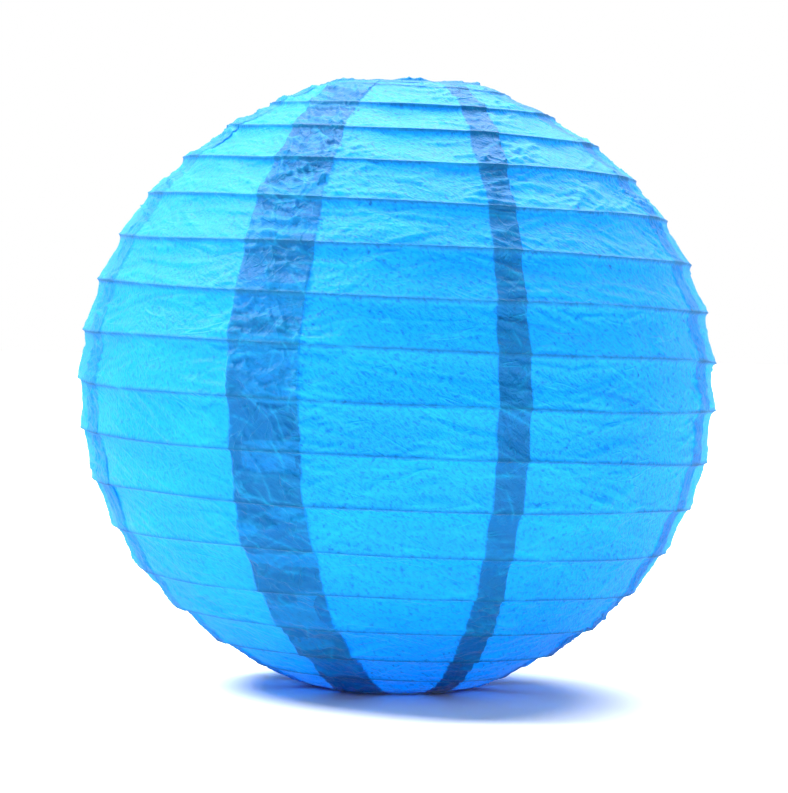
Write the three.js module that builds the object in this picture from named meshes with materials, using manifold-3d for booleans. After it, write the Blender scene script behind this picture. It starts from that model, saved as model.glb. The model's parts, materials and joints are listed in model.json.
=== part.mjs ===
// A round paper lantern: eight pleated paper gores lapped and glued over one long spiral of
// rib wire, closed by a wire ring at each end and held open by a wire expander inside.
// Millimetres, +Z up, the front at -Y. The origin is under the centre of the bottom ring.
import * as THREE from "three";
import { mergeVertices } from "three/addons/utils/BufferGeometryUtils.js";
import Module from "manifold-3d";

// ---- Driving dimensions ----
const GLOBE_R = 150; // to the outside of the paper, over a rib at the middle
const FLATTENING = 0.961; // height of the globe's curve over its width
const HEIGHT = 282; // underside of the bottom ring to the top of the top ring
const PAPER = 0.4; // thickness of a gore panel
const CLEARANCE = 0.3; // between pieces that touch on the real object

const RING_R = 35; // to the centre of the ring wire
const RING_WIRE = 2.2; // flat to flat of the ring's eight-sided wire
const RING_STEPS = 40;

const RIB_WIRE = 1.0;
const RIB_TURNS = 16;
const RIB_TOP = 74.5; // latitude where the spiral leaves the top ring, degrees
const RIB_DROP = 9.3; // latitude lost in one turn, degrees
const RIB_INSET = 1.9; // from the outside of the paper in to the centre of the rib wire
const RIB_STEPS = 36; // per turn

const SEAMS = [-66, -23, 20, 65, 111, 157, 203, 249]; // azimuth of each lap joint, degrees
const LAP = 13; // width of a lap joint
const LAP_GAP = 0.8; // between the two layers, which are glued together on the real lantern
const JOGGLE = 3; // width of the step where the upper layer rises
const PLEAT = 1.8; // how far the paper sinks between two ribs
const NARROW_GAP = 3.5; // degrees of latitude between two ribs, or a rib and a hem
const GORE_STEPS = 4; // panel steps between a gore's first edge and its joggle

const LEG_WIRE = 2.0; // the expander's wire
const LEG_X = 31; // from the middle to a straight leg
const PIVOT_X = 17; // from the middle to the eye that a leg hooks through
const PIVOT_DROP = 7; // from the centre of the top ring down to the eyes
const EYE_R = 2.6; // to the centre of the wire of a bar's end eye
const HANGING_EYE_R = 5; // to the centre of the wire of the middle eye
const WIRE_SIDES = 6;
const LEG_STEPS = 2; // per stretch of a leg

// ---- Worked out from them ----
const MID_Z = HEIGHT / 2;
const RING_Z = RING_WIRE / 2; // centre of the bottom ring's wire
const TOP_RING_Z = HEIGHT - RING_WIRE / 2;
const PIVOT_Z = TOP_RING_Z - PIVOT_DROP;
const TOUCH = (RING_WIRE + LEG_WIRE) / 2 + CLEARANCE; // a ring's centre to a leg that bears on it
const LAP_RAISE = PAPER + LAP_GAP; // how far the upper layer of a lap joint stands out
const HEM_R = RING_R + RING_WIRE / 2 + CLEARANCE + PAPER; // outside of the paper at a ring
const HEM_LAT = THREE.MathUtils.radToDeg(Math.acos(HEM_R / GLOBE_R));
const TURN = 360;

// ---- Looks ----
const skyPaper = new THREE.MeshStandardMaterial({ color: 0x14b9fc, roughness: 0.75, metalness: 0 });
const ribSteel = new THREE.MeshStandardMaterial({ color: 0x9a9c9e, roughness: 0.4, metalness: 1 });
const ringSteel = new THREE.MeshStandardMaterial({ color: 0xb8babc, roughness: 0.35, metalness: 1 });
const legSteel = new THREE.MeshStandardMaterial({ color: 0xc4c6c8, roughness: 0.3, metalness: 1 });

function named(name, geometry, material) {
  const mesh = new THREE.Mesh(geometry, material);
  mesh.name = name;
  return mesh;
}

// A point on the globe. Azimuth runs from the front towards +X; both angles are in degrees.
function onGlobe(azimuth, latitude, offset = 0) {
  const a = THREE.MathUtils.degToRad(azimuth);
  const l = THREE.MathUtils.degToRad(latitude);
  const r = (GLOBE_R + offset) * Math.cos(l);
  const z = MID_Z + (GLOBE_R + offset) * FLATTENING * Math.sin(l);
  return new THREE.Vector3(r * Math.sin(a), -r * Math.cos(a), z);
}

// The angle in degrees that a width spans around the globe at a latitude.
function spanOf(width, latitude) {
  const r = GLOBE_R * Math.cos(THREE.MathUtils.degToRad(latitude));
  return THREE.MathUtils.radToDeg(width / r);
}

// Latitude of the spiral after a number of turns from the top ring.
function ribLatitude(turns) {
  return RIB_TOP - RIB_DROP * turns;
}

// The latitudes at one azimuth where the paper is held: the top hem, each rib, the bottom hem.
function heldLatitudes(azimuth) {
  const part = (azimuth - SEAMS[0]) / TURN;
  const ribs = Array.from({ length: RIB_TURNS }, (_, i) => ribLatitude(part + i));
  return [HEM_LAT, ...ribs, -HEM_LAT];
}

// The rows of a gore at one azimuth: where the paper is held, and a valley between neighbours
// with how deep the paper sinks there. A gap that is narrow at the gore's middle has no valley.
function rowsAt(azimuth, middle) {
  const held = heldLatitudes(azimuth);
  const heldAtMiddle = heldLatitudes(middle);
  const rows = [{ latitude: held[0], sink: 0 }];
  for (let i = 1; i < held.length; i++) {
    const gap = held[i - 1] - held[i];
    if (heldAtMiddle[i - 1] - heldAtMiddle[i] > NARROW_GAP) {
      const sink = PLEAT * Math.min(1, gap / RIB_DROP) ** 2;
      rows.push({ latitude: held[i] + gap / 2, sink });
    }
    rows.push({ latitude: held[i], sink: 0 });
  }
  return rows;
}

// One column of a gore: its outer and inner points from top to bottom. The edge gives the
// column's azimuth at each latitude. The paper ends in a short lip that stands against the
// outside of each ring.
function goreColumn(edge, middle, raise) {
  const column = rowsAt(edge(0), middle).map(({ latitude: guess }, i) => {
    const { latitude, sink } = rowsAt(edge(guess), middle)[i];
    const azimuth = edge(latitude);
    return {
      outer: onGlobe(azimuth, latitude, raise - sink),
      inner: onGlobe(azimuth, latitude, raise - sink - PAPER),
    };
  });
  return [hemLip(edge(HEM_LAT), raise, 1), ...column, hemLip(edge(-HEM_LAT), raise, -1)];
}

function hemLip(azimuth, raise, side) {
  const a = THREE.MathUtils.degToRad(azimuth);
  const z = MID_Z + side * (MID_Z - RING_WIRE / 4);
  const at = (r) => new THREE.Vector3(r * Math.sin(a), -r * Math.cos(a), z);
  return { outer: at(HEM_R + raise), inner: at(HEM_R + raise - PAPER) };
}

// A closed panel from a grid of outer and inner points, columns running left to right.
function panelGeometry(columns) {
  const wide = columns.length;
  const tall = columns[0].length;
  const positions = [];
  for (const side of ["outer", "inner"]) {
    for (const column of columns) {
      column.forEach((point) => positions.push(...point[side].toArray()));
    }
  }
  const index = [];
  const at = (side, column, row) => (side * wide + column) * tall + row;
  const quad = (a, b, c, d) => index.push(a, b, c, a, c, d);
  for (let r = 0; r < tall - 1; r++) {
    quad(at(0, 0, r + 1), at(0, 0, r), at(1, 0, r), at(1, 0, r + 1));
    quad(at(0, wide - 1, r), at(0, wide - 1, r + 1), at(1, wide - 1, r + 1), at(1, wide - 1, r));
  }
  for (let c = 0; c < wide - 1; c++) {
    quad(at(0, c, 0), at(0, c + 1, 0), at(1, c + 1, 0), at(1, c, 0));
    quad(at(0, c + 1, tall - 1), at(0, c, tall - 1), at(1, c, tall - 1), at(1, c + 1, tall - 1));
    for (let r = 0; r < tall - 1; r++) {
      quad(at(0, c, r), at(0, c, r + 1), at(0, c + 1, r + 1), at(0, c + 1, r));
      quad(at(1, c, r), at(1, c + 1, r), at(1, c + 1, r + 1), at(1, c, r + 1));
    }
  }
  const geometry = new THREE.BufferGeometry();
  geometry.setAttribute("position", new THREE.Float32BufferAttribute(positions, 3));
  geometry.setIndex(index);
  geometry.computeVertexNormals();
  return geometry;
}

// ---- Paper ----
// Each gore starts as the lower layer of one lap joint and ends as the raised upper layer of
// the next, so every joint has two thicknesses of paper with a crisp edge outside.
function gore(i) {
  const first = SEAMS[i];
  const last = i + 1 < SEAMS.length ? SEAMS[i + 1] : SEAMS[0] + TURN;
  const middle = (first + last) / 2;
  const firstEdge = (latitude) => first - spanOf(LAP / 2, latitude);
  const lapStart = (latitude) => last - spanOf(LAP / 2, latitude);
  const joggle = (latitude) => lapStart(latitude) - spanOf(JOGGLE, latitude);
  const lastEdge = (latitude) => last + spanOf(LAP / 2, latitude);
  const columns = [];
  for (let s = 0; s <= GORE_STEPS; s++) {
    const part = s / GORE_STEPS;
    const edge = (latitude) => THREE.MathUtils.lerp(firstEdge(latitude), joggle(latitude), part);
    columns.push(goreColumn(edge, middle, 0));
  }
  for (const edge of [lapStart, () => last, lastEdge]) {
    columns.push(goreColumn(edge, middle, LAP_RAISE));
  }
  return named(`gore_${i + 1}`, panelGeometry(columns), skyPaper);
}

// ---- Rings and spiral ----
function ring(name, z) {
  const corner = RING_WIRE / 2 / Math.cos(Math.PI / 8);
  const profile = [];
  for (let i = 0; i <= 8; i++) {
    const a = Math.PI / 8 + (i * Math.PI) / 4;
    profile.push(new THREE.Vector2(RING_R + corner * Math.cos(a), z + corner * Math.sin(a)));
  }
  const geometry = new THREE.LatheGeometry(profile, RING_STEPS);
  geometry.rotateX(Math.PI / 2);
  return named(name, geometry, ringSteel);
}

// A wire with a flat-sided round section, swept along a curve.
function wireAlong(curve, diameter, steps, sides) {
  const r = diameter / 2;
  const section = new THREE.Shape();
  section.moveTo(r, 0);
  for (let i = 1; i < sides; i++) {
    const a = (i * 2 * Math.PI) / sides;
    section.lineTo(r * Math.cos(a), r * Math.sin(a));
  }
  section.closePath();
  return new THREE.ExtrudeGeometry(section, { extrudePath: curve, steps, bevelEnabled: false });
}

// The rib spiral falls as it turns counter-clockwise seen from above. Its steps are equal in
// angle, so that they follow the paper's columns.
class RibCurve extends THREE.Curve {
  getPoint(t, target = new THREE.Vector3()) {
    const turns = t * RIB_TURNS;
    return target.copy(onGlobe(SEAMS[0] + turns * TURN, ribLatitude(turns), -RIB_INSET));
  }
  getUtoTmapping(u) {
    return u;
  }
}

function ribSpiral() {
  const geometry = wireAlong(new RibCurve(), RIB_WIRE, RIB_TURNS * RIB_STEPS, 4);
  return named("rib_spiral", geometry, ribSteel);
}

// ---- Wire expander ----
// A bent wire. Each stretch between two points gets the same number of steps, so tight bends
// have short ones.
class BentWire extends THREE.CatmullRomCurve3 {
  getUtoTmapping(u) {
    return u;
  }
}

const wasm = await Module();
wasm.setup();

function solid(geometry) {
  const bare = geometry.clone();
  bare.deleteAttribute("normal");
  bare.deleteAttribute("uv");
  const merged = mergeVertices(bare);
  return new wasm.Manifold(
    new wasm.Mesh({
      numProp: 3,
      vertProperties: merged.attributes.position.array,
      triVerts: new Uint32Array(merged.index.array),
    }),
  );
}

function joined(geometries) {
  const mesh = geometries.map(solid).reduce((a, b) => a.add(b)).getMesh();
  const geometry = new THREE.BufferGeometry();
  geometry.setAttribute("position", new THREE.BufferAttribute(mesh.vertProperties, 3));
  geometry.setIndex(new THREE.BufferAttribute(mesh.triVerts, 1));
  geometry.computeVertexNormals();
  return geometry;
}

// An upright eye of wire, open from front to back.
function eye(x, radius, segments) {
  const geometry = new THREE.TorusGeometry(radius, LEG_WIRE / 2, WIRE_SIDES, segments);
  geometry.rotateX(Math.PI / 2);
  return geometry.translate(x, 0, PIVOT_Z);
}

// The hanger bar lies across the mouth, under the top ring: a middle eye for whatever hangs the
// lantern, and an eye at each end that a leg hooks through.
function hangerBar() {
  const from = HANGING_EYE_R;
  const to = PIVOT_X - EYE_R;
  const pieces = [eye(0, HANGING_EYE_R, 20)];
  for (const side of [-1, 1]) {
    const arm = new THREE.CylinderGeometry(LEG_WIRE / 2, LEG_WIRE / 2, to - from, WIRE_SIDES);
    arm.rotateZ(Math.PI / 2);
    arm.translate((side * (from + to)) / 2, 0, PIVOT_Z);
    pieces.push(arm, eye(side * PIVOT_X, EYE_R, 14));
  }
  return named("expander_hanger", joined(pieces), legSteel);
}

// A leg: a pin through the bar's eye, an arm out to a shoulder that catches under the top ring,
// a long straight stretch inside both rings, and a foot that sits over the bottom ring.
function leg(name, side) {
  const under = TOP_RING_Z - TOUCH;
  const over = RING_Z + TOUCH;
  const points = [
    [PIVOT_X, -3.2, PIVOT_Z],
    [PIVOT_X, 0, PIVOT_Z],
    [PIVOT_X, 1.6, PIVOT_Z],
    [PIVOT_X + 1.2, 2.7, PIVOT_Z],
    [PIVOT_X + 4, 2.8, PIVOT_Z + 0.4],
    [PIVOT_X + 10, 1.2, under - 1.8],
    [RING_R - 3, 0, under - 0.2],
    [RING_R + 0.4, 0, under],
    [RING_R + 1.6, 0, under - 1.6],
    [RING_R - 0.6, 0, under - 5],
    [LEG_X + 0.6, 0, under - 12],
    [LEG_X, 0, under - 24],
    [LEG_X, 0, MID_Z],
    [LEG_X, 0, over + 24],
    [LEG_X, 0, over + 4],
    [LEG_X + 0.2, 0, over + 0.4],
    [LEG_X + 0.9, 0, over - 1.1],
    [RING_R - 1.6, 0, over - 0.1],
    [RING_R, 0, over + 0.2],
    [RING_R + 1.2, 0, over + 0.2],
  ];
  const path = new BentWire(points.map(([x, y, z]) => new THREE.Vector3(side * x, y, z)));
  const geometry = wireAlong(path, LEG_WIRE, LEG_STEPS * (points.length - 1), WIRE_SIDES);
  return named(name, geometry, legSteel);
}

const lantern = new THREE.Group();
SEAMS.forEach((_, i) => lantern.add(gore(i)));
lantern.add(
  ribSpiral(),
  ring("top_ring", TOP_RING_Z),
  ring("bottom_ring", RING_Z),
  hangerBar(),
  leg("expander_leg_left", -1),
  leg("expander_leg_right", 1),
);

export default lantern;
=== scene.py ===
"""A round sky-blue paper lantern: creased paper gores over a rib spiral, hems folded over two
wire rings, and a wire expander inside, on a pale floor in soft studio light."""

import json
import math
from collections import namedtuple

import bpy
import numpy as np
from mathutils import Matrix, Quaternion, Vector


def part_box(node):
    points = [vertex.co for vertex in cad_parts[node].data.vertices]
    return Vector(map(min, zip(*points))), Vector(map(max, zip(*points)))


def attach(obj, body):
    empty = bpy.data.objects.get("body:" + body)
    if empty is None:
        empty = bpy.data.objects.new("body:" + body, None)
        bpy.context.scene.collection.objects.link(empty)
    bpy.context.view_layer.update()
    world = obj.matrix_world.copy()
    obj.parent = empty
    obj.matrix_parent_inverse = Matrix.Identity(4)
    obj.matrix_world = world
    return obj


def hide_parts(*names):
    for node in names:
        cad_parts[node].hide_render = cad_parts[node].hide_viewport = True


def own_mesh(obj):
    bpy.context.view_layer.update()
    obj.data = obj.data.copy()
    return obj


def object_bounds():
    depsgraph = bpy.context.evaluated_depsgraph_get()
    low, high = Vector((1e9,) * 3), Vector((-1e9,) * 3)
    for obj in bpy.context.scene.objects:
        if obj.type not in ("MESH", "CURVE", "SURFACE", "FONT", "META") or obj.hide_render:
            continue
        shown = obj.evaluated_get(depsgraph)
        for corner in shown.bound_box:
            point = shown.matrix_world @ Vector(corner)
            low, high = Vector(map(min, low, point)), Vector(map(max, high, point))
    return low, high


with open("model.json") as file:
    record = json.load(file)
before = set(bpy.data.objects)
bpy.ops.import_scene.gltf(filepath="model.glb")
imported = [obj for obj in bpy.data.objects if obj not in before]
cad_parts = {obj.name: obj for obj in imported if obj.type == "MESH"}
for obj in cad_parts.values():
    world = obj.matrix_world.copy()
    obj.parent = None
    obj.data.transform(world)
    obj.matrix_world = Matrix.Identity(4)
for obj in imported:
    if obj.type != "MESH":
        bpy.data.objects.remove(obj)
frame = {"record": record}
cad_low, cad_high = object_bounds()

# ---- Sizes in metres, angles in degrees ----
MM = 0.001
TURN = 360

# the globe
GLOBE_R = 150 * MM
FLATTENING = 0.961  # height of the globe's curve over its width
MID_Z = (cad_low.z + cad_high.z) / 2

# the end rings, and the hems over them
ring_low, ring_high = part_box("top_ring")
RING_WIRE = ring_high.z - ring_low.z
RING_R = ring_high.x - RING_WIRE / 2
RING_Z = {1: ring_high.z - RING_WIRE / 2, -1: RING_WIRE / 2}  # by side: top 1, bottom -1
HEM_DIP = 0.3 * MM  # paper between a ring and the floor
HEM_FOLD = RING_WIRE / 2 + HEM_DIP  # radius of the paper folded over a ring
HEM_LAT = math.degrees(math.acos((RING_R + HEM_FOLD) / GLOBE_R))

# the rib spiral
RIB_TURNS = 16
RIB_START = -65  # azimuth of its upper end
RIB_TOP = 74.5  # latitude of its upper end
RIB_DROP = 9.3  # how far in latitude each turn falls
RIB_WIRE = 0.8 * MM  # thickness
RIB_STEPS = 150  # points of its path in each turn

# the paper
SHEET = math.radians(2 * HEM_LAT) * GLOBE_R  # length of a gore between the rings
SINK = 2.3 * MM  # how far the paper sinks between two ribs
LAP_RAISE = 0.3 * MM  # how far the upper paper of a lap joint stands out
SHARED = (-34 * MM, -6 * MM)  # distance inside a joint where its own creases fade in
COLUMNS = 190  # of a gore's mesh
GAP_ROWS = 29  # of a gore's mesh, from one rib to the next

# the expander
joints = {joint["name"]: joint for joint in frame["record"]["behaviour"]["joints"]}
HINGE = joints["squeeze_right"]["pos_m"]  # the middle of the right leg's eye
hanger_low, hanger_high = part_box("expander_hanger")
EXPANDER_WIRE = hanger_high.y - hanger_low.y
# radius of the hanger's eyes and of its coil, to the middle of the wire
END_EYE = hanger_high.x - HINGE[0] - EXPANDER_WIRE / 2
COIL = (hanger_high.z - hanger_low.z - EXPANDER_WIRE) / 2
COIL_START, COIL_MIDDLE = 165, -90  # degrees round the coil
# The right leg, in mm from its hinge: through the eye, out over the shoulder that pushes up on
# the top ring, down to the foot, and out over the bottom ring.
LEG = (
    (0, -3.2, 0), (0, 0, 0), (0, 1.6, 0), (1.2, 2.7, 0), (4, 2.8, 0.4), (10, 1.2, 2.8),
    (15, 0, 4.4), (18.4, 0, 4.6), (19.6, 0, 3), (17.4, 0, -0.4), (14.6, 0, -7.4), (14, 0, -19.4),
    (14, 0, -132.9), (14, 0, -246.4), (14, 0, -266.4), (14.2, 0, -270), (14.9, 0, -271.5),
    (16.4, 0, -270.5), (18, 0, -270.2), (19.2, 0, -270.2),
)

# The lap joints from gore 1's left edge on: azimuth at the middle, width at the middle and at the
# rings, how far it leans at the top and at the bottom ring, how crumpled it is, and how much it
# dims the paper.
Seam = namedtuple("Seam", "azimuth width end_width lean_top lean_bottom crumpled dim")
SEAMS = (
    Seam(-69.5, 17 * MM, 12 * MM, 4, -3, 0.5, 0.35),
    Seam(-23.2, 35 * MM, 22 * MM, -10, 3, 1.0, 1.0),
    Seam(20.1, 15 * MM, 12 * MM, 14, 12, 0.35, 1.0),
    Seam(69.5, 16 * MM, 13 * MM, -5, 4, 0.4, 0.45),
    Seam(111, 17 * MM, 13 * MM, 6, -5, 0.5, 0.9),
    Seam(157, 24 * MM, 15 * MM, -4, 7, 0.9, 1.0),
    Seam(203, 16 * MM, 12 * MM, 8, 3, 0.4, 1.0),
    Seam(249, 22 * MM, 14 * MM, -6, -4, 0.8, 0.8),
)
# partly faded dye, partly painted light
FADED_AND_LIT = (0.12, 0, 0, 0.15, 0.20, 0.05, 0.25, 0.10)  # how pale each gore's paper is

# Seeds of the random draws, each plus the number of its joint, gore or side.
SEEDS = {"joint edges": 40, "gore": 100, "hem": 500, "joint creases": 700, "joint patches": 900}


# ---- Smooth random fields, all seeded ----
def smooth_noise(rng, x, y, size):
    """Values about -1 to 1 that vary smoothly over x and y, with bumps about size across."""
    cells = 64  # before the pattern repeats
    grid = rng.uniform(-1, 1, (cells, cells))
    gx, gy = x / size, y / size
    ix, iy = np.floor(gx).astype(int), np.floor(gy).astype(int)
    fx, fy = gx - ix, gy - iy
    fx, fy = fx * fx * (3 - 2 * fx), fy * fy * (3 - 2 * fy)

    def at(i, j):
        return grid[i % cells, j % cells]

    low = at(ix, iy) * (1 - fx) + at(ix + 1, iy) * fx
    high = at(ix, iy + 1) * (1 - fx) + at(ix + 1, iy + 1) * fx
    return low * (1 - fy) + high * fy


def ridges(rng, x, y, size):
    """Values from 0 to 1 with sharp crests, like paper pressed from the edges."""
    swayed = x + 0.6 * size * smooth_noise(rng, x, y, 1.7 * size)
    slope = 1 - np.abs(smooth_noise(rng, swayed, y, size)) / 0.42
    return slope.clip(0, 1) ** 1.3


def smoothstep(low, high, x):
    """Runs smoothly from 0 at low to 1 at high, which may also be the smaller of the two."""
    t = np.clip((x - low) / (high - low), 0, 1)
    return t * t * (3 - 2 * t)


# ---- The globe ----
def on_globe(azimuth, latitude, offset):
    """Points on the globe as an array whose last axis is x, y, z. Azimuth runs from the front
    towards +X."""
    a, l = np.radians(azimuth), np.radians(latitude)
    r = (GLOBE_R + offset) * np.cos(l)
    z = MID_Z + (GLOBE_R + offset) * FLATTENING * np.sin(l)
    return np.stack([r * np.sin(a), -r * np.cos(a), z], axis=-1)


def span_of(width, latitude):
    """The angle that a width spans around the globe at a latitude."""
    return np.degrees(width / (GLOBE_R * np.cos(np.radians(latitude))))


def rib_wander(turns):
    """How far the rib wire strays from its even spiral, in degrees of latitude."""
    return (0.16 * np.sin(turns * 9.7 + 1.0) + 0.12 * np.sin(turns * 23.3)
            + 0.08 * np.sin(turns * 41.9 + 2.0))


def rib_latitude(turns):
    """Latitude of the rib wire, by the turns from its upper end."""
    fade = smoothstep(0, 0.3, turns) * smoothstep(0, 0.3, RIB_TURNS - turns)
    return RIB_TOP - RIB_DROP * turns + rib_wander(turns) * fade


def held_latitude(azimuth, number):
    """Where the paper is held: 0 is the top hem, then come the ribs, and the bottom hem last."""
    turns = (azimuth - RIB_START) / TURN + np.clip(number, 1, RIB_TURNS) - 1
    hem = np.where(number < 1, HEM_LAT, -HEM_LAT)
    return np.where((number < 1) | (number > RIB_TURNS), hem, rib_latitude(turns))


def ring_rise(latitude):
    """How far the globe rises near the rings, so that the paper runs over their outer side."""
    return 1.25 * MM * smoothstep(64, HEM_LAT, np.abs(latitude))


def seam_at(index):
    """A lap joint by its number. Numbers past the last one count on round the globe."""
    seam = SEAMS[index % len(SEAMS)]
    return seam._replace(azimuth=seam.azimuth + TURN * (index // len(SEAMS)))


def seam_edges(index, latitude):
    """Left and right azimuth of a lap joint at each latitude."""
    seam = seam_at(index)
    rng = np.random.default_rng(SEEDS["joint edges"] + index % len(SEAMS))
    share = np.clip(latitude / 75, -1, 1)
    lean = np.where(share > 0, seam.lean_top, seam.lean_bottom)
    middle = seam.azimuth + lean * np.abs(share) ** 3.5
    half = span_of(seam.width + (seam.end_width - seam.width) * share**2, latitude) / 2
    knots = (HEM_LAT - latitude) / RIB_DROP  # the cut edges change direction near the ribs
    at_knots = np.arange(-1, RIB_TURNS + 3)
    edges = []
    for side in (-1, 1):
        stray = (0.9 + 0.9 * seam.crumpled * (side < 0)) * MM
        wobble = np.interp(knots, at_knots, rng.uniform(-1, 1, len(at_knots)))
        edges.append(middle + side * half + span_of(stray, latitude) * wobble)
    return edges


# ---- Creases ----
def add_crease(height, worn, across, down, start, end, tall, wide):
    """Raises a sharp fold line from start to end, points of (across, down) in metres."""
    ax, ay = start
    bx, by = end
    length = math.hypot(bx - ax, by - ay)
    reach = 6 * wide
    near = ((across > min(ax, bx) - reach) & (across < max(ax, bx) + reach)
            & (down > min(ay, by) - reach) & (down < max(ay, by) + reach))
    if not near.any():
        return
    px, py = across[near] - ax, down[near] - ay
    ux, uy = (bx - ax) / length, (by - ay) / length
    along = px * ux + py * uy
    bend = 0.04 * length * np.sin(np.pi * np.clip(along / length, 0, 1))
    off = np.abs(py * ux - px * uy + bend)
    taper = smoothstep(-0.15, 0.3, along / length) * smoothstep(-0.15, 0.3, 1 - along / length)
    ridge = np.exp(-off / wide) - 0.45 * np.exp(-off / (2.6 * wide))
    height[near] += tall * ridge * taper
    # paler along a raised crease, for wear and a painted highlight; deeper along a sunken one, as
    # painted shade
    worn[near] += np.exp(-off / (0.6 * wide)) * taper * (0.9 if tall > 0 else -0.6)


def scatter_creases(rng, height, worn, across, down, count, area, length, tilt, tall, wide):
    """Adds creases at random inside area, (left, right, top, bottom), with their length,
    tilt in degrees, height and width each drawn from a range."""
    left, right, top, bottom = area
    for _ in range(count):
        x, y = rng.uniform(left, right), rng.uniform(top, bottom)
        run = rng.uniform(*length)
        angle = math.radians(rng.uniform(*tilt))
        dx, dy = run / 2 * math.cos(angle), run / 2 * math.sin(angle)
        add_crease(height, worn, across, down, (x - dx, y - dy), (x + dx, y + dy),
                   rng.uniform(*tall) * rng.choice((1, 1, -1)), rng.uniform(*wide))


# ---- Mesh helpers ----
def grid_mesh(name, points, attributes=None, closed=False, loop=False, ends=()):
    """A smooth mesh from a grid of points, rows by columns. A closed grid joins its last column
    to its first, a loop joins its last row to its first, and each of ends is one more face."""
    rows, columns = points.shape[:2]
    index = np.arange(rows * columns).reshape(rows, columns)
    if closed:
        index = np.concatenate([index, index[:, :1]], axis=1)
    if loop:
        index = np.concatenate([index, index[:1]], axis=0)
    quads = np.stack([index[:-1, :-1], index[1:, :-1], index[1:, 1:], index[:-1, 1:]], axis=-1)
    quads = quads.reshape(-1, 4)
    corners = np.concatenate([quads.ravel(), *ends]).astype(np.int32)
    counts = np.array([4] * len(quads) + [len(end) for end in ends])
    starts = (np.cumsum(counts) - counts).astype(np.int32)
    mesh = bpy.data.meshes.new(name)
    mesh.vertices.add(rows * columns)
    mesh.vertices.foreach_set("co", points.ravel().astype(np.float32))
    mesh.loops.add(len(corners))
    mesh.loops.foreach_set("vertex_index", corners)
    mesh.polygons.add(len(counts))
    mesh.polygons.foreach_set("loop_start", starts)
    mesh.update(calc_edges=True)
    mesh.validate()
    mesh.shade_smooth()
    for key, values in (attributes or {}).items():
        layer = mesh.attributes.new(key, "FLOAT", "POINT")
        layer.data.foreach_set("value", values.ravel().astype(np.float32))
    obj = bpy.data.objects.new(name, mesh)
    bpy.context.scene.collection.objects.link(obj)
    return obj


# ---- Paper gores ----
def paper_rows():
    """The gap between two ribs, and the fraction of it from the top, for each row of the mesh.
    Rows are closer together near the ribs."""
    even = np.arange(GAP_ROWS) / GAP_ROWS
    eased = 0.45 * even + 0.55 * (1 - np.cos(np.pi * even)) / 2
    fraction = np.append(np.tile(eased, RIB_TURNS + 1), 1)
    gap = np.append(np.repeat(np.arange(RIB_TURNS + 1), GAP_ROWS), RIB_TURNS)
    return gap[:, None], fraction[:, None]


def gore_places(index, gap, fraction):
    """Azimuth and latitude of a gore's points, from the left edge of its left joint to the right
    edge of its right one, and the latitudes where the paper is held above and below each point."""
    even = np.linspace(0, 1, COLUMNS)
    denser_ends = 0.6 * even + 0.4 * (1 - np.cos(np.pi * even)) / 2
    latitude = HEM_LAT * (1 - 2 * (gap + fraction) / (RIB_TURNS + 1))
    latitude = np.repeat(latitude, COLUMNS, axis=1)
    for _ in range(4):  # the joints lean, so each row settles at its own azimuths
        left = seam_edges(index, latitude)[0]
        right = seam_edges(index + 1, latitude)[1]
        azimuth = left + (right - left) * denser_ends
        above, below = held_latitude(azimuth, gap), held_latitude(azimuth, gap + 1)
        latitude = above + (below - above) * fraction
    return azimuth, latitude, above, below


def paper_sag(rng, azimuth, latitude, above, below, fraction):
    """How far the paper sinks between the ribs: steeply just below each one, and less near the
    rings."""
    depth = SINK * np.clip((above - below) / RIB_DROP, 0, 1.1) ** 2
    for nearer in (above, -below):
        depth *= 0.25 + 0.75 * smoothstep(RIB_TOP, RIB_TOP - RIB_DROP, nearer)
    depth *= 1 + 0.35 * smooth_noise(rng, azimuth / 12, latitude / 9, 1)
    return depth * np.sin(np.pi * fraction**0.58)


def gore_surface(index):
    """The points of a gore, and how its paper varies."""
    gap, fraction = paper_rows()
    azimuth, latitude, above, below = gore_places(index, gap, fraction)

    # this gore is the lower paper of its left joint, and the raised upper paper of its right one
    from_left, left_wrinkles = joint_wrinkles(index, azimuth, latitude)
    from_right, right_wrinkles = joint_wrinkles(index + 1, azimuth, latitude)
    raised = smoothstep(-1.6 * MM, 0.2 * MM, from_right)
    near_left = smoothstep(*SHARED, from_left)
    near_right = smoothstep(*SHARED, from_right)
    rng = np.random.default_rng(SEEDS["gore"] + index)
    middle = (seam_at(index).azimuth + seam_at(index + 1).azimuth) / 2
    across, down = sheet_place(azimuth - middle, latitude)
    wrinkles = gore_wrinkles(rng, across, down)
    height, worn = (
        own * (1 - near_left) * (1 - near_right) + at_left * near_left + at_right * near_right
        for own, at_left, at_right in zip(wrinkles, left_wrinkles, right_wrinkles))
    sag = paper_sag(rng, azimuth, latitude, above, below, fraction)

    # how far the nearest rib is: there is none at a hem
    from_rib = np.minimum(fraction + (gap < 1), 1 - fraction + (gap > RIB_TURNS - 1))
    from_rib = from_rib * np.radians(above - below) * GLOBE_R
    free = smoothstep(0.3 * MM, 4 * MM, from_rib)
    over_wire = 0.40 * MM * np.exp(-((from_rib / (1.1 * MM)) ** 2))
    # darkens the colour where the wire lies behind the paper: the wire's painted shadow
    rib = np.exp(-((from_rib / (0.9 * MM)) ** 2))

    offset = ring_rise(latitude) - sag + over_wire + raised * LAP_RAISE
    to_ring = np.minimum(down, SHEET - down)
    offset += height * (0.15 + 0.85 * free) * smoothstep(-3 * MM, 14 * MM, to_ring)
    points = on_globe(azimuth, latitude, offset)
    points[..., 2] = np.maximum(points[..., 2], -HEM_DIP)

    layers = np.maximum(lap_layers(index, from_left, across, down),
                        lap_layers(index + 1, from_right, across, down))
    return points, {"layers": layers, "worn": np.clip(worn, -1, 1), "rib": rib,
                    "faded": np.full_like(rib, FADED_AND_LIT[index]), "across": across, "down": down}


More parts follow.
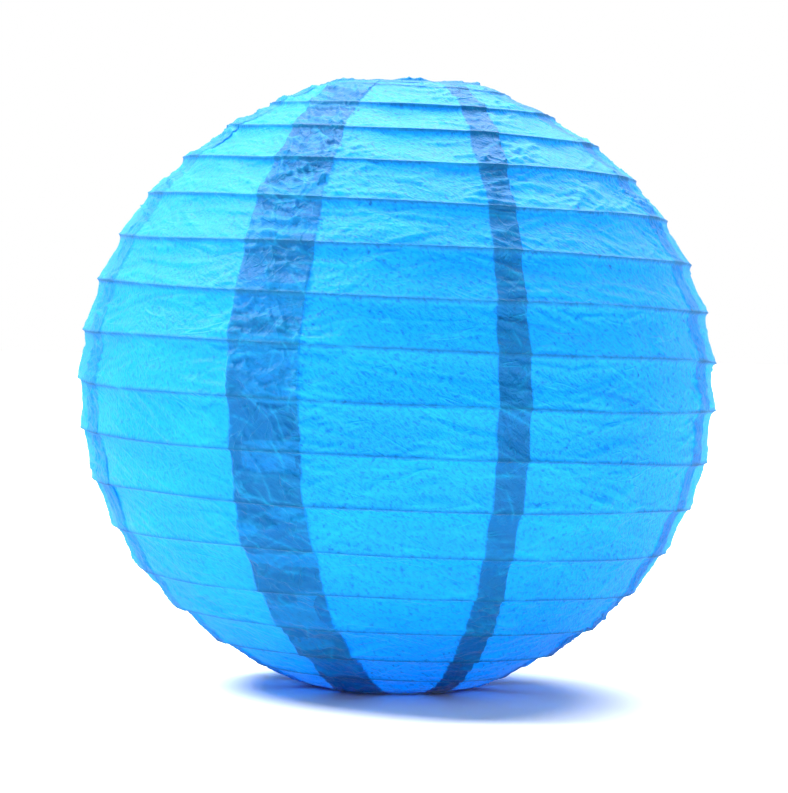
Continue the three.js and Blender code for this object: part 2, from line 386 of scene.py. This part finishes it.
def sheet_place(azimuth, latitude):
    """Metres across and down the paper, from azimuth 0 and the top hem."""
    across = np.radians(azimuth) * GLOBE_R * np.cos(np.radians(latitude))
    return across, np.radians(HEM_LAT - latitude) * GLOBE_R


def lap_layers(index, inside, across, down):
    """How much a lap joint dims the paper, partly the deeper dye of two glued papers and partly
    painted shade: crumpled joints have paler patches, where the two papers stand apart."""
    seam = seam_at(index)
    rng = np.random.default_rng(SEEDS["joint patches"] + index % len(SEAMS))
    patch = smoothstep(-0.05, 0.05, smooth_noise(rng, across * 0.25, down, 8 * MM) - 0.1)
    edge = smoothstep(-0.4 * MM, 0.4 * MM, inside)
    return seam.dim * edge * (1 - 0.4 * seam.crumpled * patch)


def joint_wrinkles(index, azimuth, latitude):
    """How far inside a lap joint each point is, and the height of the paper around it with its
    wear and painted highlights and shade, which both of its papers share."""
    seam = seam_at(index)
    width, crumpled = seam.width, seam.crumpled
    rng = np.random.default_rng(SEEDS["joint creases"] + index % len(SEAMS))
    across, down = sheet_place(azimuth - seam.azimuth, latitude)
    left, right = seam_edges(index, latitude)
    inside = sheet_place(np.minimum(azimuth - left, right - azimuth), latitude)[0]
    height, worn = gore_wrinkles(rng, across, down)

    packed = crumpled * smoothstep(-1.5 * MM, 1.5 * MM, inside)
    for size, tall, turn in ((6.5 * MM, 1.1 * MM, 0.25), (5 * MM, 0.7 * MM, 1.1)):
        x = across * math.cos(turn) + down * math.sin(turn)
        y = down * math.cos(turn) - across * math.sin(turn)
        crest = ridges(rng, 0.55 * x, y, size)
        height += 1.2 * tall * packed * crest
        # crests paler: wear and a painted highlight
        worn += 0.25 * packed * crest**8
    band = (-width / 2, width / 2, 10 * MM, SHEET - 10 * MM)
    scatter_creases(rng, height, worn, across, down, int(3600 * width * crumpled), band,
                    (6 * MM, 20 * MM), (-75, 75), (0.3 * MM, 0.7 * MM), (0.5 * MM, 0.8 * MM))
    for side in (-1, 1):
        near, far = side * width / 2, side * (width / 2 + 30 * MM)
        beside = (min(near, far), max(near, far), 14 * MM, SHEET - 14 * MM)
        scatter_creases(rng, height, worn, across, down, int(900 * width * crumpled), beside,
                        (12 * MM, 42 * MM), (-35, 40), (0.4 * MM, 0.8 * MM), (0.6 * MM, 0.9 * MM))
    add_tension_folds(rng, height, worn, across, down, SEAMS[index % len(SEAMS)])
    return inside, (height, worn)


def add_tension_folds(rng, height, worn, across, down, seam):
    """Long folds that start where a rib crosses a joint and run off to either side, closing up
    on that rib or the next one."""
    ribs = sheet_place(0, held_latitude(seam.azimuth, np.arange(RIB_TURNS + 2)))[1]
    for rib in range(1, RIB_TURNS + 1):
        for side in (-1, 1):
            for _ in range(rng.integers(0, 4)):
                rise = rng.uniform(0.08, 0.85) * (ribs[rib] - ribs[rib - 1])
                run = rng.uniform(22 * MM, 58 * MM)
                edge = seam.width / 2 - rng.uniform(-3, 6) * MM
                start = (side * edge, ribs[rib] - 0.8 * MM)
                end = (start[0] + side * run, ribs[rib] - rise)
                if rng.random() < 0.4:
                    start, end = (start[0], end[1]), (end[0], start[1])
                add_crease(height, worn, across, down, start, end,
                           rng.uniform(0.6, 1.3) * MM, rng.uniform(0.6, 1.0) * MM)


def gore_wrinkles(rng, across, down):
    """Height of plain paper, and its wear with painted highlights and shade: soft swells, long
    folds along the ribs and slanting down them, single creases, and gathers at each ring."""
    height = 0.30 * MM * smooth_noise(rng, across, down, 12 * MM)
    height += 0.12 * MM * smooth_noise(rng, across, down, 4 * MM)
    worn = np.zeros_like(height)
    for slope, size, tall, low in (
            (-0.14, 6 * MM, 1.0 * MM, -0.1), (0.30, 5 * MM, 0.9 * MM, 0.0),
            (-0.55, 5 * MM, 0.8 * MM, 0.1)):
        where = smoothstep(low, low + 0.45, smooth_noise(rng, across, down, 26 * MM))
        crest = ridges(rng, across * 0.16, down + slope * across, size)
        height += tall * where * crest
        # crests paler: wear and a painted highlight
        worn += 0.6 * where * crest**8
    hem = smoothstep(18 * MM, 1 * MM, np.minimum(down, SHEET - down))
    height += 0.8 * MM * hem * ridges(rng, across, down * 0.25, 5 * MM)
    everywhere = (-70 * MM, 70 * MM, 4 * MM, SHEET - 4 * MM)
    scatter_creases(rng, height, worn, across, down, 60, everywhere, (20 * MM, 75 * MM),
                    (-12, 30), (0.5 * MM, 1.2 * MM), (0.6 * MM, 1.0 * MM))
    scatter_creases(rng, height, worn, across, down, 22, everywhere, (8 * MM, 26 * MM),
                    (-70, 70), (0.3 * MM, 0.7 * MM), (0.5 * MM, 0.8 * MM))
    return height, worn


def fold_down(piece):
    """Gives a piece its own copy of its mesh."""
    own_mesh(piece)


def dress(piece, material):
    piece.data.materials.clear()
    piece.data.materials.append(material)


def make_gore(index, material):
    points, attributes = gore_surface(index)
    name = f"gore_{index + 1}"
    piece = grid_mesh(f"{name}_paper", points, attributes)
    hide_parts(name)
    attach(piece, "shell")
    dress(piece, material)
    fold_down(piece)


# ---- Hems ----
def make_hem(side, material):
    """The ends of the gores, glued over a ring and back along the inside of the globe. Rows run
    from its edge on the globe, over the ring, to its ragged edge inside."""
    rng = np.random.default_rng(SEEDS["hem"] + side)
    azimuth = np.linspace(0, TURN, 480, endpoint=False)
    a = np.radians(azimuth)
    noise_at = (np.cos(a) * RING_R + 1, np.sin(a) * RING_R + 1)
    crumple = 0.5 + 0.5 * smooth_noise(rng, *noise_at, 7 * MM)
    crumple += 0.5 * crumple * ridges(rng, *noise_at, 5 * MM)
    tall = (1.7 if side > 0 else 0.0) * MM

    # a narrow flap on the globe
    share = np.linspace(1, 0, 6)[:, None]
    wide = (2.6 + 0.8 * smooth_noise(rng, *noise_at, 9 * MM)) * MM
    r = RING_R + HEM_FOLD + share * wide
    lift = ring_rise(np.degrees(np.arccos(r / GLOBE_R))) + 0.25 * MM
    z = (np.sqrt(1 - (r / GLOBE_R) ** 2) * GLOBE_R + lift) * FLATTENING
    flap = np.stack([r, z + tall * crumple * (1 - share) ** 2 * 0.35], axis=-1)
    # over the ring's wire
    turns = np.radians(np.linspace(62, 200, 14))[:, None]
    radius = HEM_FOLD + 0.1 * MM + tall * crumple * np.sin(turns).clip(0, 1) ** 2
    ring_z = abs(RING_Z[side] - MID_Z)
    r, z = RING_R + radius * np.cos(turns), ring_z + radius * np.sin(turns)
    fold = np.stack([r, z], axis=-1)
    # and back outwards, under the globe's paper
    run = np.linspace(0, 1, 10)[1:, None]
    ragged = 8 * MM * (1 + 0.35 * smooth_noise(rng, *noise_at, 4 * MM))
    sway = smooth_noise(rng, noise_at[0] + run * 8 * MM, noise_at[1], 2.5 * MM)
    r, z = fold[-1, :, 0] + run * ragged, fold[-1, :, 1] - run * ragged * 0.30
    inside = np.stack([r, z - (1.0 + 0.4 * sway) * MM * np.sqrt(run)], axis=-1)

    rows = np.concatenate([flap, fold, inside])
    z = np.maximum(MID_Z + side * rows[..., 1], -HEM_DIP)
    points = np.stack([rows[..., 0] * np.sin(a), -rows[..., 0] * np.cos(a), z], axis=-1)
    down = np.linspace(0, 20 * MM, len(z))[:, None]
    attributes = {
        # two papers: deeper dye, and partly painted shade
        "layers": np.full_like(z, 0.7),
        # paler where the hem crumples: wear and a painted highlight
        "worn": np.broadcast_to(0.4 * crumple, z.shape),
        "rib": np.zeros_like(z),
        "faded": np.zeros_like(z),
        "across": np.broadcast_to(a * RING_R, z.shape),
        "down": np.broadcast_to(down, z.shape),
    }
    body, name = ("top", "hem_top") if side > 0 else ("shell", "hem_bottom")
    if side > 0:  # so that its faces look outwards too
        points = points[:, ::-1]
        attributes = {key: values[:, ::-1] for key, values in attributes.items()}
    piece = grid_mesh(name, points, attributes, closed=True)
    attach(piece, body)
    dress(piece, material)


# ---- Wires ----
def wire_mesh(name, centre, wire, loop=False, sides=12):
    """A round wire that follows a row of points."""
    if loop:
        tangent = np.roll(centre, -1, axis=0) - np.roll(centre, 1, axis=0)
    else:
        tangent = np.gradient(centre, axis=0)
    tangent /= np.linalg.norm(tangent, axis=1, keepdims=True)
    normal = np.array(Vector(tangent[0]).orthogonal())
    normals = []
    for direction in tangent:  # carried along without a twist
        normal = normal - normal.dot(direction) * direction
        normal /= np.linalg.norm(normal)
        normals.append(normal)
    out = np.array(normals)[:, None]
    up = np.cross(out[:, 0], tangent)[:, None]
    ring = np.radians(np.arange(sides) * TURN / sides)[None, :, None]
    points = centre[:, None] + wire / 2 * (np.cos(ring) * out + np.sin(ring) * up)
    if loop:
        return grid_mesh(name, points, closed=True, loop=True)
    first = np.arange(sides)
    last = first[::-1] + (len(centre) - 1) * sides
    return grid_mesh(name, points, closed=True, ends=(first, last))


def bent(points):
    """A path with its corners bent round."""
    points = np.array(points, float)
    for _ in range(3):
        near = 0.75 * points[:-1] + 0.25 * points[1:]
        far = 0.25 * points[:-1] + 0.75 * points[1:]
        inner = np.stack([near, far], axis=1).reshape(-1, 3)
        points = np.concatenate([points[:1], inner[1:-1], points[-1:]])
    return points


def place_wire(piece, node, body, steel):
    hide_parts(node)
    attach(piece, body)
    dress(piece, steel)


def make_rib_wire(steel):
    """The long spiral, close behind the paper."""
    turns = np.linspace(0, RIB_TURNS, RIB_TURNS * RIB_STEPS + 1)
    latitude = rib_latitude(turns)
    inset = ring_rise(latitude) - 0.35 * MM - RIB_WIRE / 2
    centre = on_globe(RIB_START + turns * TURN, latitude, inset)
    piece = wire_mesh("rib_wire", centre, RIB_WIRE, sides=8)
    place_wire(piece, "rib_spiral", "shell", steel)
    fold_down(piece)


def make_ring_wire(side, steel):
    """An end ring, inside its hem."""
    turn = np.radians(np.arange(0, TURN, 2))
    centre = np.stack([RING_R * np.cos(turn), RING_R * np.sin(turn), 0 * turn + RING_Z[side]], -1)
    node, body = ("top_ring", "top") if side > 0 else ("bottom_ring", "shell")
    piece = wire_mesh(f"{node}_wire", centre, RING_WIRE, loop=True, sides=16)
    place_wire(piece, node, body, steel)


def make_hanger_wire(steel):
    """The expander's bar, bent from one wire: an eye at each end for a leg, and in the middle a
    coil of one and a half turns, which the lantern hangs from."""
    left = []
    for turn in np.radians(np.arange(55, 340, 19)):
        left.append((END_EYE * math.cos(turn) - HINGE[0], 0.4 * MM, END_EYE * math.sin(turn)))
    left.append((-13 * MM, 0.2 * MM, 0))
    left.append((-8 * MM, 1.1 * MM, 0))
    for degrees in range(COIL_START, COIL_MIDDLE - 1, -15):
        turn = math.radians(degrees)
        to_middle = (degrees - COIL_MIDDLE) / (COIL_START - COIL_MIDDLE)
        beside = to_middle * 0.79 * EXPANDER_WIRE  # the coil's turns lie side by side
        left.append((COIL * math.cos(turn), beside, COIL * math.sin(turn)))
    right = [(-x, -y, z) for x, y, z in reversed(left[:-1])]
    centre = bent(left + right) + np.array([0, 0, HINGE[2]])
    piece = wire_mesh("hanger_wire", centre, EXPANDER_WIRE)
    place_wire(piece, "expander_hanger", "hanger", steel)


def make_leg_wire(hand, steel):
    side = 1 if hand == "right" else -1
    centre = bent(LEG) * MM + np.array(HINGE)
    centre[:, 0] *= side
    piece = wire_mesh(f"leg_{hand}_wire", centre, EXPANDER_WIRE)
    place_wire(piece, f"expander_leg_{hand}", f"leg_{hand}", steel)


# ---- Materials ----
class Nodes:
    """A material's node tree, with short calls to add and join nodes."""

    def __init__(self, name):
        self.material = bpy.data.materials.new(name)
        self.material.use_nodes = True
        self.tree = self.material.node_tree
        self.tree.nodes.clear()

    def add(self, kind, inputs=None, **settings):
        node = self.tree.nodes.new("ShaderNode" + kind)
        for key, value in settings.items():
            setattr(node, key, value)
        for key, value in (inputs or {}).items():
            if isinstance(value, bpy.types.NodeSocket):
                self.tree.links.new(value, node.inputs[key])
            else:
                node.inputs[key].default_value = value
        return node

    def ramp(self, factor, *stops):
        node = self.add("ValToRGB", {0: factor})
        elements = node.color_ramp.elements
        while len(elements) < len(stops):
            elements.new(0.5)
        for element, (position, value) in zip(elements, stops):
            element.position = position
            element.color = (value, value, value, 1)
        return node.outputs[0]

    def math(self, operation, a, b, clamp=False):
        return self.add("Math", {0: a, 1: b}, operation=operation, use_clamp=clamp).outputs[0]

    def times(self, a, b, clamp=False):
        return self.math("MULTIPLY", a, b, clamp)

    def plus(self, a, b, clamp=False):
        return self.math("ADD", a, b, clamp)

    def mix(self, factor, a, b, blend="MIX"):
        node = self.add("Mix", data_type="RGBA", blend_type=blend)
        for socket, value in (("Factor", factor), ("A", a), ("B", b)):
            found = [s for s in node.inputs if s.name == socket and s.enabled][0]
            if isinstance(value, bpy.types.NodeSocket):
                self.tree.links.new(value, found)
            else:
                found.default_value = value
        return [s for s in node.outputs if s.enabled][0]


# Colours of the paper: as light falls on it, and as light comes through it (GLOW).
SKY = (0.000, 0.365, 0.880, 1)
PALE = (0.010, 0.620, 0.980, 1)
DEEP = (0.000, 0.155, 0.440, 1)
# dark specks in the paper, and the wire's painted shadow along each rib
SPECK_AND_WIRE_SHADOW = (0.000, 0.085, 0.240, 1)
GLOW = (0.000, 0.460, 0.980, 1)
GLOW_DEEP = (0.000, 0.105, 0.350, 1)


def paper_material():
    """Two-sided paper. The meshes say how much a second paper dims it, partly the deeper dye of
    two glued papers and partly painted shade of the light it holds back (layers), where it is
    paler from wear and a painted highlight on crests or, below 0, deeper from painted shade in
    sunken creases (worn), where a rib runs, with the wire's painted shadow (rib), how pale the
    whole gore is, partly faded dye and partly painted light (faded), and the place on the sheet
    in metres (across, down)."""
    n = Nodes("lantern_paper")

    def attribute(name):
        return n.add("Attribute", attribute_name=name).outputs["Fac"]

    layers, worn, rib = attribute("layers"), attribute("worn"), attribute("rib")
    faded = attribute("faded")
    sheet = n.add("CombineXYZ", {0: attribute("across"), 1: attribute("down")}).outputs[0]

    def noise(scale, detail=4.0, roughness=0.6, vector=sheet):
        inputs = {"Vector": vector, "Scale": scale, "Detail": detail, "Roughness": roughness}
        return n.add("TexNoise", inputs).outputs["Fac"]

    def along(turn, stretch):
        """The sheet's place, stretched so that a pattern runs at an angle to the ribs."""
        inputs = {"Vector": sheet, "Rotation": (0, 0, turn), "Scale": (stretch, 1.0, 1.0)}
        return n.add("Mapping", inputs, vector_type="TEXTURE").outputs[0]

    def fine_creases(turn, stretch, scale, low):
        """Thin sharp lines in patches."""
        field = noise(scale, 1.5, 0.5, along(turn, stretch))
        line = n.ramp(field, (0.480, 0.0), (0.5, 1.0), (0.520, 0.0))
        patch = n.ramp(noise(0.3 * scale, 2.0), (low, 0.0), (low + 0.08, 1.0))
        return n.times(line, patch)

    # clouds of dye, fibres that lie mostly one way, fine grain and dark specks
    clouds = n.ramp(noise(26, 3.0), (0.35, 0.0), (0.7, 1.0))
    fibres = n.ramp(noise(900, 2.0, 0.6, along(0.75, 2.2)), (0.40, 0.0), (0.62, 1.0))
    mottle = n.ramp(noise(420, 3.0, 0.65), (0.38, 0.0), (0.66, 1.0))
    speck = n.ramp(noise(230, 1.5, 0.5), (0.66, 0.0), (0.78, 1.0))
    specked = n.ramp(noise(34, 2.0), (0.40, 0.15), (0.58, 1.0))
    speck = n.times(speck, specked)
    # less speck and grain on paler gores, whose paleness is partly painted light
    unfaded_and_unlit = n.math("SUBTRACT", 1.0, n.times(faded, 4.5), True)
    speck = n.times(speck, unfaded_and_unlit)
    dark_grain = n.times(n.times(mottle, fibres), 0.75)
    dark_grain = n.times(dark_grain, n.plus(n.times(unfaded_and_unlit, 0.6), 0.4))

    # fine creases: a few long ones everywhere, and many crossing ones in the lap joints
    folds = n.plus(fine_creases(0.42, 6.0, 95, 0.52), fine_creases(-0.12, 7.0, 110, 0.54))
    crinkles = n.plus(fine_creases(-0.95, 2.6, 130, 0.44), fine_creases(0.6, 2.2, 150, 0.46))
    crinkles = n.times(crinkles, n.times(layers, layers))
    fine = n.plus(n.times(folds, 0.9), n.times(crinkles, 0.8))
    # fine crease lines paler: partly bleached dye, partly painted highlight
    bleached_and_highlit = n.plus(n.times(folds, 0.30), n.times(crinkles, 0.12))

    # paler clouds of dye, and the gore's paleness: partly faded dye, partly painted light
    pale = n.plus(n.times(clouds, 0.25), faded, True)
    colour = n.mix(pale, SKY, PALE)
    colour = n.mix(dark_grain, colour, DEEP)
    colour = n.mix(n.times(speck, 0.8), colour, SPECK_AND_WIRE_SHADOW)
    # two glued papers: deeper dye, and partly painted shade of the light the second one holds back
    colour = n.mix(n.times(layers, 0.74, True), colour, DEEP)
    # the wire's painted shadow along each rib
    colour = n.mix(n.times(rib, 0.40, True), colour, SPECK_AND_WIRE_SHADOW)
    # paler on crease crests: wear and a painted highlight
    colour = n.mix(n.times(worn, 0.45, True), colour, PALE)
    # fine crease lines paler: partly bleached dye, partly painted highlight
    colour = n.mix(bleached_and_highlit, colour, PALE)
    # deeper in sunken creases: painted shade
    colour = n.mix(n.times(worn, -0.5, True), colour, DEEP)
    # the gore's paleness, partly painted light, in the light coming through
    glow = n.mix(n.times(faded, 0.5), GLOW, PALE)
    # two glued papers: deeper dye, and partly painted shade of the light the second one holds back
    glow = n.mix(n.times(layers, 0.95, True), glow, GLOW_DEEP)
    glow = n.mix(dark_grain, glow, GLOW_DEEP)
    # the wire's painted shadow in the light coming through
    glow = n.mix(n.times(rib, 0.9, True), glow, SPECK_AND_WIRE_SHADOW)
    # the same wear, painted highlight and painted shade in the light coming through
    glow = n.mix(n.times(worn, 0.25, True), glow, PALE)
    glow = n.mix(n.times(worn, -0.4, True), glow, GLOW_DEEP)
    glow = n.mix(n.times(speck, 0.8), glow, SPECK_AND_WIRE_SHADOW)

    relief = n.plus(n.times(fibres, 0.6), n.times(mottle, 0.6))
    relief = n.plus(relief, n.times(noise(120, 4.0), 2.0))
    relief = n.plus(relief, n.times(fine, 1.8))
    bump = n.add("Bump", {"Height": relief, "Strength": 0.5, "Distance": 0.0005}).outputs[0]
    rough = n.plus(n.times(clouds, 0.10), 0.46)
    front = n.add("BsdfPrincipled", {
        "Base Color": colour, "Roughness": rough, "Normal": bump, "Specular IOR Level": 0.26,
        "Sheen Weight": 0.20, "Sheen Roughness": 0.35,
    }).outputs[0]
    through = n.add("BsdfTranslucent", {"Color": glow, "Normal": bump}).outputs[0]
    both = n.add("MixShader", {0: 0.5, 1: front, 2: through}).outputs[0]
    n.add("OutputMaterial", {"Surface": both})
    return n.material


def wire_material(name, colour, roughness, rust):
    """Drawn steel wire: fine scratches and a little dull staining."""
    n = Nodes(name)
    place = n.add("TexCoord").outputs["Object"]
    stain = n.add("TexNoise", {"Vector": place, "Scale": 90.0, "Detail": 5.0}).outputs["Fac"]
    stained = n.ramp(stain, (0.48, 0.0), (0.72, 1.0))
    scratch = n.add("TexNoise", {"Vector": place, "Scale": 1800.0, "Detail": 2.0}).outputs["Fac"]
    dull = tuple(0.55 * c for c in colour[:3]) + (1,)
    tint = n.mix(n.times(stained, rust), colour, dull)
    rough = n.plus(n.times(stained, 0.2), roughness)
    bump = n.add("Bump", {"Height": scratch, "Strength": 0.2, "Distance": 0.00005}).outputs[0]
    steel = n.add("BsdfPrincipled", {
        "Base Color": tint, "Metallic": 1.0, "Roughness": rough, "Normal": bump}).outputs[0]
    n.add("OutputMaterial", {"Surface": steel})
    return n.material


def floor_material():
    n = Nodes("pale_floor")
    place = n.add("TexCoord").outputs["Object"]
    cloud = n.add("TexNoise", {"Vector": place, "Scale": 3.0, "Detail": 2.0}).outputs["Fac"]
    rough = n.plus(n.times(cloud, 0.1), 0.6)
    matt = n.add("BsdfPrincipled", {
        "Base Color": (0.93, 0.93, 0.93, 1), "Roughness": rough, "Specular IOR Level": 0.2})
    n.add("OutputMaterial", {"Surface": matt.outputs[0]})
    return n.material


# ---- The object ----
paper = paper_material()
rib_steel = wire_material("rib_steel", (0.20, 0.20, 0.21, 1), 0.42, 0.7)
ring_steel = wire_material("ring_steel", (0.26, 0.26, 0.27, 1), 0.36, 0.5)
expander_steel = wire_material("expander_steel", (0.30, 0.30, 0.31, 1), 0.32, 0.35)

for index in range(len(SEAMS)):
    make_gore(index, paper)
for side in (1, -1):
    make_hem(side, paper)
make_rib_wire(rib_steel)
for side in (1, -1):
    make_ring_wire(side, ring_steel)
make_hanger_wire(expander_steel)
for hand in ("left", "right"):
    make_leg_wire(hand, expander_steel)


# ---- Stage ----
def make_floor():
    """A wide floor just below the lantern, which the paper's gloss doesn't reflect."""
    half = 8.0
    z = -0.6 * MM
    corners = [(-half, -half, z), (half, -half, z), (half, half, z), (-half, half, z)]
    mesh = bpy.data.meshes.new("floor")
    mesh.from_pydata(corners, [], [(0, 1, 2, 3)])
    floor = bpy.data.objects.new("floor", mesh)
    bpy.context.scene.collection.objects.link(floor)
    floor.visible_glossy = False
    dress(floor, floor_material())


def soft_light(name, direction, strength, spread, gloss=True):
    """Light from a wide far-off softbox, which spreads over an angle in degrees."""
    light = bpy.data.lights.new(name, "SUN")
    light.energy = strength
    light.angle = math.radians(spread)
    lamp = bpy.data.objects.new(name, light)
    lamp.location = Vector(direction).normalized() * 2 + Vector((0, 0, MID_Z))
    lamp.rotation_mode = "QUATERNION"
    lamp.rotation_quaternion = (-Vector(direction)).to_track_quat("-Z", "Y")
    lamp.visible_glossy = gloss
    bpy.context.scene.collection.objects.link(lamp)


def make_world():
    """White where the camera looks past the floor, and dimmer as a light."""
    world = bpy.data.worlds.new("studio")
    world.use_nodes = True
    tree = world.node_tree
    tree.nodes.clear()
    path = tree.nodes.new("ShaderNodeLightPath")
    dim, white = (tree.nodes.new("ShaderNodeBackground") for _ in range(2))
    dim.inputs["Color"].default_value = white.inputs["Color"].default_value = (1, 1, 1, 1)
    dim.inputs["Strength"].default_value = 0.15
    white.inputs["Strength"].default_value = 1.0
    mix = tree.nodes.new("ShaderNodeMixShader")
    tree.links.new(path.outputs["Is Camera Ray"], mix.inputs[0])
    tree.links.new(dim.outputs[0], mix.inputs[1])
    tree.links.new(white.outputs[0], mix.inputs[2])
    tree.links.new(mix.outputs[0], tree.nodes.new("ShaderNodeOutputWorld").inputs[0])
    bpy.context.scene.world = world


def make_camera():
    """In front of the lantern, a little above its middle, and tipped very slightly."""
    distance = 10.9 * GLOBE_R
    elevation = math.radians(1.54)
    roll = math.radians(1.04)
    camera = bpy.data.objects.new("camera", bpy.data.cameras.new("camera"))
    back = Vector((0, -math.cos(elevation), math.sin(elevation)))
    camera.location = Vector((0, 0, MID_Z)) + distance * back
    camera.rotation_mode = "QUATERNION"
    camera.rotation_quaternion = (-back).to_track_quat("-Z", "Y") @ Quaternion((0, 0, 1), roll)
    camera.data.sensor_width = 36
    camera.data.lens = 157.4
    camera.data.shift_x = -0.0042
    camera.data.shift_y = -0.0136
    camera.data.clip_start, camera.data.clip_end = 0.05, 50
    bpy.context.scene.collection.objects.link(camera)
    bpy.context.scene.camera = camera


make_floor()
make_camera()
make_world()
soft_light("key", (-0.80, 0.14, 1.05), 7.2, 26)
soft_light("overhead", (0.12, 0.42, 0.90), 8.0, 55)
soft_light("back", (0.3, 1.0, 0.25), 0.8, 90)
soft_light("fill", (0.4, -0.9, 0.1), 1.3, 120, gloss=False)
bpy.context.scene.view_settings.view_transform = "Standard"
